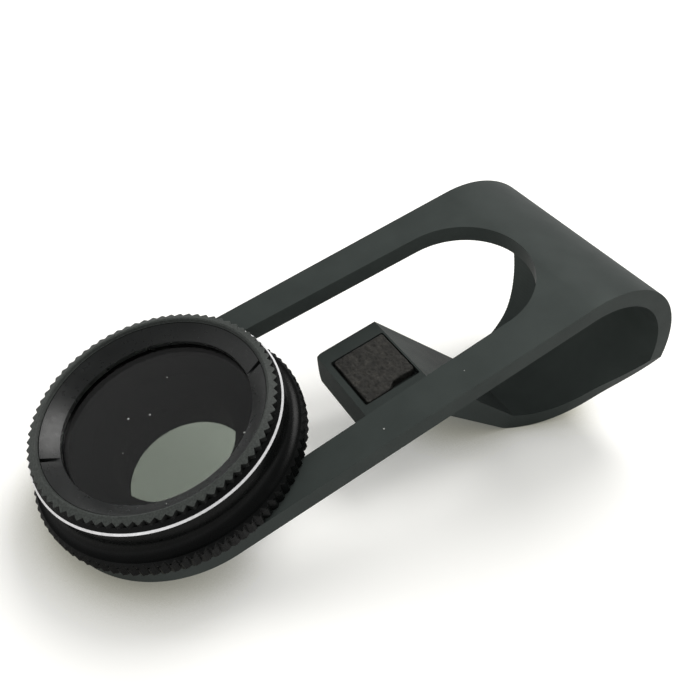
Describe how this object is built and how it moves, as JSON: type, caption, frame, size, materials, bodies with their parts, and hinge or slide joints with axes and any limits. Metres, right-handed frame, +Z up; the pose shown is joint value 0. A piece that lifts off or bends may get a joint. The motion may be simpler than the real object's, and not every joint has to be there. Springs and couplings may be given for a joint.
{
  "type": "clip-on phone camera filter",
  "caption": "Sprung clip with a long opening, a loop and a padded jaw, carrying a turned lens barrel whose knurled front ring turns a polarizing glass.",
  "frame": {"origin": "middle of the outline seen from above, on the table that the part lies on", "axes": "+Z up from the table, +X from the lens towards the loop, +Y to the left seen from the lens"},
  "size_m": [0.085, 0.0332, 0.0304],
  "materials": {
    "clip_plastic": "fine matt texture",
    "pad_rubber": "rough, dusty",
    "barrel_black": "black anodised, satin",
    "ring_black": "black anodised, satin",
    "retainer_black": "black anodised, turned facets",
    "spring_wire": "bright drawn wire",
    "optical_glass": "polished",
    "polarizer": "grey clear film",
    "retarder": "clear film"
  },
  "bodies": {
    "clip": {"clip_body": "clip_plastic", "jaw_pad": "pad_rubber", "lens_barrel": "barrel_black", "snap_ring": "spring_wire"},
    "polarizer": {"front_ring": "ring_black", "retaining_ring": "retainer_black", "front_glass": "optical_glass", "polarizing_film": "polarizer", "retarding_film": "retarder", "rear_glass": "optical_glass"}
  },
  "joints": [
    {"name": "polarizer_turn", "type": "hinge", "parent": "clip", "child": "polarizer", "pos_m": [-0.028, 0, 0.01415], "axis": [-0.3827, 0, 0.9239], "continuous": true}
  ]
}
